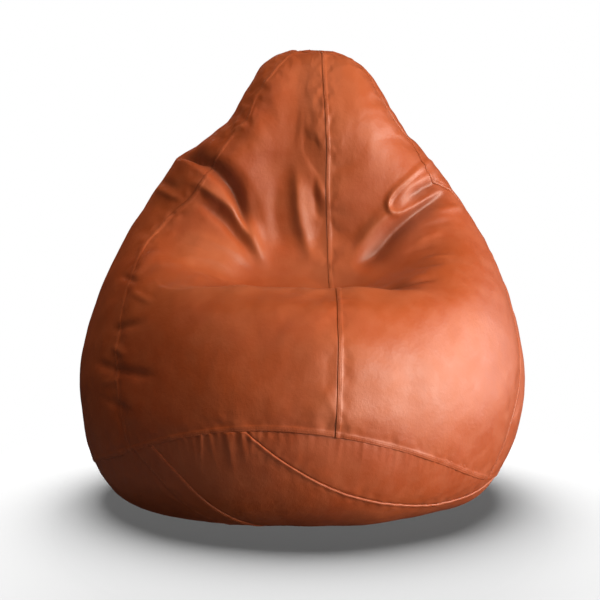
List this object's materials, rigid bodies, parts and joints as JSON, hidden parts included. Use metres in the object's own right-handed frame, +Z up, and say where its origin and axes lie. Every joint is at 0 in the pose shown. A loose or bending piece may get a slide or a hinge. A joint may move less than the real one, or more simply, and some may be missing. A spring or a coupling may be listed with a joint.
{
  "type": "bean bag chair",
  "caption": "Teardrop bean bag chair in orange faux leather, pressed into a bucket seat, with a topstitched gore cover, a strip base, a hidden base zip and a zipped liner of beads.",
  "frame": {"origin": "on the floor under the middle of the bag's outline", "axes": "+Z up, -Y the way the sitter faces, +X the sitter's left"},
  "size_m": [0.8564, 0.8949, 0.855],
  "materials": {
    "leatherette": "softly glossy, fine pebble grain",
    "leatherette_fold": "softly glossy, fine pebble grain",
    "liner_cloth": "matte plain-weave polyester",
    "beads": "loose expanded polystyrene beads",
    "zip_tape": "matte woven herringbone tape",
    "zip_coil": "satin nylon coil",
    "zip_metal": "antique plated cast metal",
    "liner_tape": "matte woven tape",
    "liner_coil": "satin nylon coil",
    "liner_metal": "grey enamelled cast metal"
  },
  "bodies": {
    "bag": {"gore_front_right": "leatherette", "gore_side_right": "leatherette", "gore_back_right": "leatherette", "gore_back_left": "leatherette", "gore_side_left": "leatherette", "gore_front_left": "leatherette", "crown_patch": "leatherette", "base_lens_right": "leatherette", "base_half_right": "leatherette", "base_half_left": "leatherette", "zip_placket": "leatherette_fold", "zip_facing_left": "leatherette_fold", "zip_facing_right": "leatherette_fold", "zip_tape_left": "zip_tape", "zip_tape_right": "zip_tape", "zip_coil_left": "zip_coil", "zip_coil_right": "zip_coil", "zip_top_stop": "zip_metal", "zip_bottom_stop": "zip_metal", "inner_liner": "liner_cloth", "liner_zip_tape_left": "liner_tape", "liner_zip_tape_right": "liner_tape", "liner_zip_coil_left": "liner_coil", "liner_zip_coil_right": "liner_coil", "liner_zip_top_stop": "liner_metal", "liner_zip_bottom_stop": "liner_metal", "bead_fill": "beads"},
    "slider": {"zip_slider": "zip_metal"},
    "pull": {"zip_pull": "zip_metal"},
    "liner_slider": {"liner_zip_slider": "liner_metal"}
  },
  "joints": [
    {"name": "zip_open", "type": "slide", "parent": "bag", "child": "slider", "axis": [-0.4067, -0.9135, 0], "range_m": [0, 0.35]},
    {"name": "pull_swing", "type": "hinge", "parent": "slider", "child": "pull", "pos_m": [0.07321, 0.16444, 0.0021], "axis": [0.9135, -0.4067, 0], "range_deg": [0, 180]},
    {"name": "liner_zip_open", "type": "slide", "parent": "bag", "child": "liner_slider", "axis": [-0.4067, -0.9135, 0], "range_m": [0, 0.35]}
  ]
}
